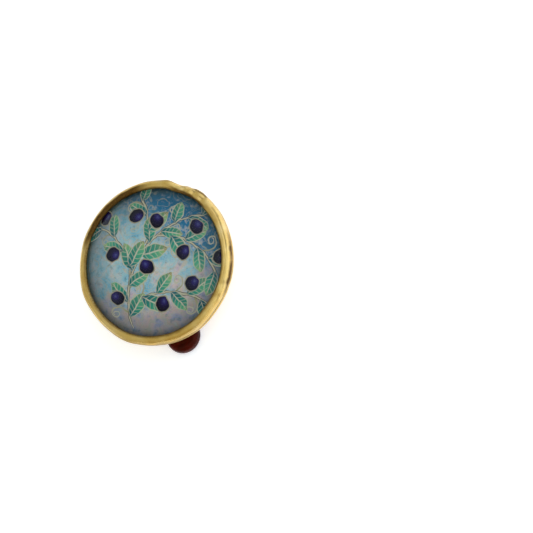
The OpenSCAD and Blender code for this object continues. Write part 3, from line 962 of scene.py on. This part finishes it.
# The cushion. Soft vinyl rubber, moulded hollow with a glossy skin and a fine parting line round
# its edge, and slipped over the strip's round end. Deep red-brown, a little see-through when lit.
CUSHION_R = 2.9
CUSHION_T = 2.1
CUSHION_EDGE = 0.85
CUSHION_MOUTH = 9.485
MOUTH_EDGE = 0.25
POCKET_HALF_W = 1.95
POCKET_HALF_T = 0.36
POCKET_STEPS = ((0.05, 0.06), (0.13, 0.0), (1.2, 0.0))
PARTING_LINE = [(0.0, 0.05), (-0.035, 0.025), (-0.035, -0.025), (0.0, -0.05)]

# The colour is mottled every 2.4 mm, and dust of 0.6 mm roughens and pebbles the gloss
vinyl, tree, place = solid_material("glossy_red_brown_vinyl_rubber")
mottle = add(tree, "ShaderNodeTexNoise", {"Vector": place, "Scale": 420.0, "Detail": 3.0})
tone = add(
    tree, "ShaderNodeValToRGB", {0: mottle}, stops=[(0.3, "320A06"), (0.55, "4C0D07"), (0.75, "6A160B")]
)
dust = add(tree, "ShaderNodeTexNoise", {"Vector": place, "Scale": 1800.0, "Detail": 5.0})
rough = add(tree, "ShaderNodeMapRange", {0: dust, 1: 0.35, 2: 0.7, 3: 0.14, 4: 0.26})
pebble = add(tree, "ShaderNodeBump", {"Height": dust, "Strength": 0.18, "Distance": 0.00004})
end_tree(
    tree, "ShaderNodeBsdfPrincipled",
    {
        "Base Color": tone,
        "Roughness": rough,
        "IOR": 1.53,
        "Specular IOR Level": 0.2,
        "Specular Tint": (0.6, 0.34, 0.26, 1.0),
        "Subsurface Weight": 0.25,
        "Subsurface Radius": (1.0, 0.25, 0.1),
        "Subsurface Scale": 0.0006,
        "Normal": pebble,
    },
)


def cushion_ring(inset, z):
    """Points of the cushion's outline drawn in by inset, from the mouth round the tip and back"""
    half = CUSHION_R - inset
    side = []
    for a in np.radians(range(0, 90, 18)):
        drawn_in = 1 - MOUTH_EDGE * (1 - sin(a)) / (CUSHION_T / 2)
        y = CUSHION_MOUTH + MOUTH_EDGE * (1 - cos(a))
        side.append((half - MOUTH_EDGE * (1 - sin(a)), y, (z + STRIP_OFFSET) * drawn_in - STRIP_OFFSET))
    side += [(half, y, z) for y in np.linspace(CUSHION_MOUTH + MOUTH_EDGE, STRIP_LEN, 13)[:-1]]
    tip_arc = [(x, y, z) for x, y in arc((0, STRIP_LEN), half, 0, 180, 40)]
    return side + tip_arc + [(-x, y, z) for x, y, z in reversed(side)]


half_t = CUSHION_T / 2
edge_side = half_t - CUSHION_EDGE
levels = [(CUSHION_R * (1 - s) + CUSHION_EDGE * s, half_t) for s in (0.02, 0.35, 0.7)]
levels += arc((CUSHION_EDGE, edge_side), CUSHION_EDGE, 90, 180, 9)
levels += PARTING_LINE + [(inset, -z) for inset, z in reversed(levels)]
rings = [cushion_ring(inset, z - STRIP_OFFSET) for inset, z in levels]
size = len(rings[0])
cushion_points = [p for ring in rings for p in ring]
cushion_faces = []
for k in range(len(rings) - 1):
    for a in range(k * size, (k + 1) * size - 1):
        cushion_faces.append((a, a + 1, a + 1 + size, a + size))
for start in (0, (len(rings) - 1) * size):
    for i in range(size // 2):
        a, b = start + i, start + size - 1 - i
        if b - a > 1:
            cushion_faces.append((a, a + 1, b - 1, b) if b - a > 2 else (a, a + 1, b))

# The pocket that the strip's end fills. Each step in from the mouth has a depth and is wider by a growth.
previous = [k * size for k in range(len(rings))] + [k * size - 1 for k in range(len(rings), 0, -1)]
mouth = [cushion_points[index] for index in previous]
for depth, grow in POCKET_STEPS:
    loop = list(range(len(cushion_points), len(cushion_points) + len(mouth)))
    for x, y, z in mouth:
        slot_x = np.clip(x / (CUSHION_R - MOUTH_EDGE), -1, 1) * (POCKET_HALF_W + grow)
        slot_z = np.clip((z + STRIP_OFFSET) / (half_t - MOUTH_EDGE), -1, 1) * (POCKET_HALF_T + grow)
        cushion_points.append((slot_x, CUSHION_MOUTH + depth, slot_z - STRIP_OFFSET))
    cushion_faces += zip(previous, previous[1:] + previous[:1], loop[1:] + loop[:1], loop)
    previous = loop
cushion_faces.append(tuple(previous))
cushion = new_piece("cushion", cushion_points, cushion_faces, vinyl, on_hinge)
finish_mesh(cushion, 50)
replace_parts(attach(cushion, "clip"), "rubber_sleeve")

# The table. White card with 1 mm fibres, on which the earring lies on its clip. A glow of its own
# lifts it to white, most on the picture's right. From below it is clear, so that the back shows.
TABLE_HALF = 0.35

white, tree, place = solid_material("white_card")
fibre = add(tree, "ShaderNodeTexNoise", {"Vector": place, "Scale": 900.0, "Detail": 4.0})
tone = add(tree, "ShaderNodeValToRGB", {0: fibre}, stops=[(0.3, "F6F6F6"), (0.7, "FAFAFA")])
across = add(tree, "ShaderNodeSeparateXYZ", {0: place})
glow = add(tree, "ShaderNodeMapRange", {0: across, 1: -0.05, 2: -0.012, 3: 0.9, 4: 0.54})
sheet = add(
    tree, "ShaderNodeBsdfPrincipled",
    {
        "Base Color": tone,
        "Roughness": 0.9,
        "Emission Color": (0.86, 0.88, 1.0, 1.0),
        "Emission Strength": glow,
    },
)
see_through = add(tree, "ShaderNodeBsdfTransparent")
below = add(tree, "ShaderNodeNewGeometry").outputs["Backfacing"]
end_tree(tree, "ShaderNodeMixShader", {0: below, 1: sheet, 2: see_through})

corners = [(x * TABLE_HALF, y * TABLE_HALF, 0) for x, y in ((-1, -1), (1, -1), (1, 1), (-1, 1))]
table = new_piece("table", corners, [(0, 1, 2, 3)], white)

# The light. A wide soft light on the picture's right, and a room that falls off to a dim grey-green
# across from it, cool towards the picture's top and warm towards its foot. Polished gold mirrors it all.
KEY_WAY = Vector((-0.945, 0.1, 0.3)).normalized()
WARM_WAY = (0.26, 0.97, 0.0)
KEY_STOPS = [
    (0.0, "A1A7A7"), (0.1, "A0A7A6"), (0.2, "9B9F9C"), (0.3, "999A8B"), (0.38, "96967F"),
    (0.52, "97967F"), (0.63, "9B9E91"), (0.73, "B2B6B1"), (0.83, "C4CCCC"), (1.0, "DAE3E6"),
]
WARM_STOPS = [
    (0.0, "F3F7FF"), (0.16, "E5EAF5"), (0.32, "DCDCDC"), (0.72, "DCDDDA"), (0.86, "D2CBB9"), (1.0, "C5B99E")
]

world = bpy.data.worlds.new("studio")
bpy.context.scene.world = world
world.use_nodes = True
tree = world.node_tree
tree.nodes.clear()
way = add(tree, "ShaderNodeTexCoord").outputs["Generated"]
washes = []
for towards, stops in ((KEY_WAY, KEY_STOPS), (WARM_WAY, WARM_STOPS)):
    facing = add(tree, "ShaderNodeVectorMath", {0: way, 1: towards}, operation="DOT_PRODUCT")
    facing = add(tree, "ShaderNodeMapRange", {0: facing, 1: -1.0, 2: 1.0})
    washes.append(add(tree, "ShaderNodeValToRGB", {0: facing}, stops=stops))
light = add(tree, "ShaderNodeVectorMath", {0: washes[0], 1: washes[1]}, operation="MULTIPLY")
end_tree(tree, "ShaderNodeBackground", {"Color": light, "Strength": 2.38}, "ShaderNodeOutputWorld")

# The camera. It stands above the table, 160 mm from the lip's middle, and the cup's face is turned
# 20 degrees away from it. Places in the picture are in pixels of its 533 pixel frame.
FRAME_PX = 533
FOCAL_PX = 995
FACE_PX = (151.61, 261.68)
FACE_DISTANCE = 0.16036
FACE_TILT = radians(20.23)
TILT_WAY = radians(199.9)
CLIP_TURN = radians(-20.0)
LIP_TOP = 2.87
SENSOR_W = 36.0

face_normal = Vector((sin(FACE_TILT) * cos(TILT_WAY), -sin(FACE_TILT) * sin(TILT_WAY), cos(FACE_TILT)))
down = Vector((0, -1, 0))
down = (down - face_normal * down.dot(face_normal)).normalized()
across = down.cross(face_normal)
clip_way = down * cos(CLIP_TURN) + across * sin(CLIP_TURN)
seen = Matrix((clip_way.cross(face_normal), clip_way, face_normal))
stand = (lean_turn.to_3x3() @ seen).to_4x4()
middle = FRAME_PX / 2
offset = Vector((FACE_PX[0] - middle, middle - FACE_PX[1], -FOCAL_PX)) * (FACE_DISTANCE / FOCAL_PX)
lens = bpy.data.cameras.new("camera")
lens.sensor_width = SENSOR_W
lens.lens = SENSOR_W * FOCAL_PX / FRAME_PX
lens.clip_start = 0.01
camera = bpy.data.objects.new("camera", lens)
bpy.context.scene.collection.objects.link(camera)
camera.matrix_world = Matrix.Translation(on_cup @ Vector((0, 0, LIP_TOP)) - stand.to_3x3() @ offset) @ stand
bpy.context.scene.camera = camera
bpy.context.scene.view_settings.view_transform = "Standard"
